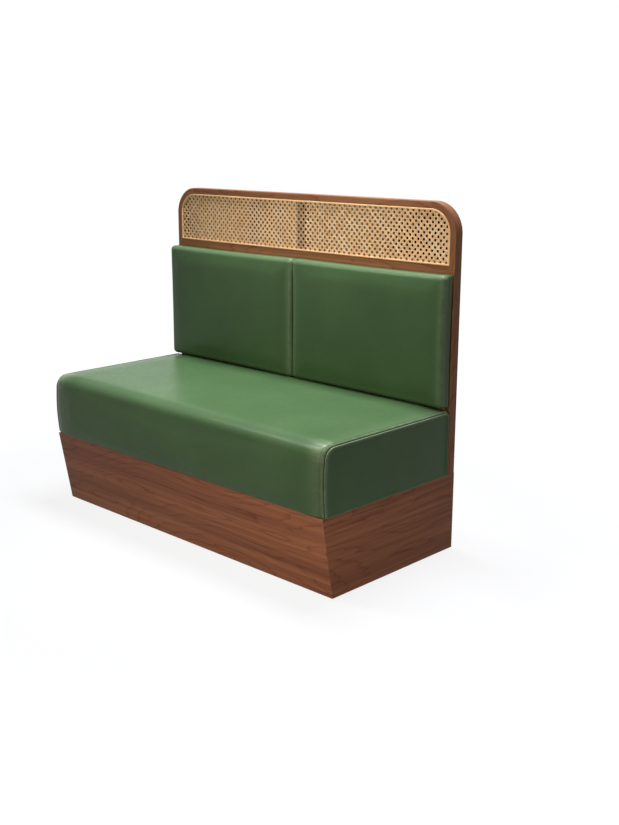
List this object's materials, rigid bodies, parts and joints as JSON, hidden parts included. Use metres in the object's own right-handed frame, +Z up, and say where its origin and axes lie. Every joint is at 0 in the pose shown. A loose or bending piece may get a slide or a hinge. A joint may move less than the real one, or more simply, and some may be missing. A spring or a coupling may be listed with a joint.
{
  "type": "upholstered booth bench",
  "caption": "Upholstered booth bench with a sloping-front walnut plinth, a leather box seat, lift-off leather back pads and a round-cornered backrest with a cane window.",
  "frame": {"origin": "on the floor, under the middle of the bench's bounding box", "axes": "+X along the bench, towards the end seen on the right of the picture, +Y from the front of the seat to the back, +Z up"},
  "size_m": [1.25, 0.6, 1.054],
  "materials": {
    "walnut": "satin lacquer on wavy grain",
    "plywood": "bare birch plywood",
    "pine": "planed, bare",
    "stained_oak": "dark stain",
    "beech": "fluted dowel, bare",
    "cane": "natural woven cane, slight gloss",
    "green_leather": "semi-gloss smooth leather, fine grain",
    "foam": "open-cell seat foam",
    "webbing": "elastic webbing",
    "black_cloth": "thin non-woven dust cloth",
    "zinc_steel": "zinc plated",
    "glide_plastic": "matt nylon"
  },
  "bodies": {
    "bench": {"plinth_front_panel": "walnut", "plinth_left_panel": "walnut", "plinth_right_panel": "walnut", "plinth_back_board": "walnut", "left_stile": "walnut", "right_stile": "walnut", "top_rail": "walnut", "left_top_corner": "walnut", "right_top_corner": "walnut", "middle_rail": "walnut", "back_rear_board": "walnut", "plinth_front_bearer": "plywood", "plinth_back_bearer": "plywood", "plinth_back_rail": "plywood", "plinth_left_rib": "plywood", "plinth_right_rib": "plywood", "back_front_board": "plywood", "plinth_front_runner": "pine", "plinth_back_runner": "pine", "plinth_corner_blocks": "pine", "support_posts": "pine", "back_noggins": "pine", "seat_front_rail": "pine", "seat_back_rail": "pine", "seat_left_rail": "pine", "seat_right_rail": "pine", "seat_cross_rails": "pine", "seat_corner_blocks": "pine", "cane_mullion": "stained_oak", "frame_dowels": "beech", "front_cane": "cane", "rear_cane": "cane", "front_cane_bead": "cane", "rear_cane_bead": "cane", "seat_cover": "green_leather", "seat_left_end_panel": "green_leather", "seat_right_end_panel": "green_leather", "seat_foam": "foam", "seat_cross_straps": "webbing", "seat_long_straps": "webbing", "seat_dust_cloth": "black_cloth", "corner_block_screws": "zinc_steel", "glide_nails": "zinc_steel", "seat_fixing_screws": "zinc_steel", "post_bolts": "zinc_steel", "post_washers": "zinc_steel", "post_nuts": "zinc_steel", "panel_clips": "zinc_steel", "panel_clip_screws": "zinc_steel", "floor_glides": "glide_plastic"},
    "left_back_pad": {"left_pad_board": "plywood", "left_pad_cover": "green_leather", "left_pad_foam": "foam", "left_pad_clips": "zinc_steel", "left_pad_clip_screws": "zinc_steel"},
    "right_back_pad": {"right_pad_board": "plywood", "right_pad_cover": "green_leather", "right_pad_foam": "foam", "right_pad_clips": "zinc_steel", "right_pad_clip_screws": "zinc_steel"}
  },
  "joints": [
    {"name": "left_pad_lift", "type": "slide", "parent": "bench", "child": "left_back_pad", "axis": [0, 0, 1], "range_m": [0, 0.012]},
    {"name": "right_pad_lift", "type": "slide", "parent": "bench", "child": "right_back_pad", "axis": [0, 0, 1], "range_m": [0, 0.012]}
  ]
}
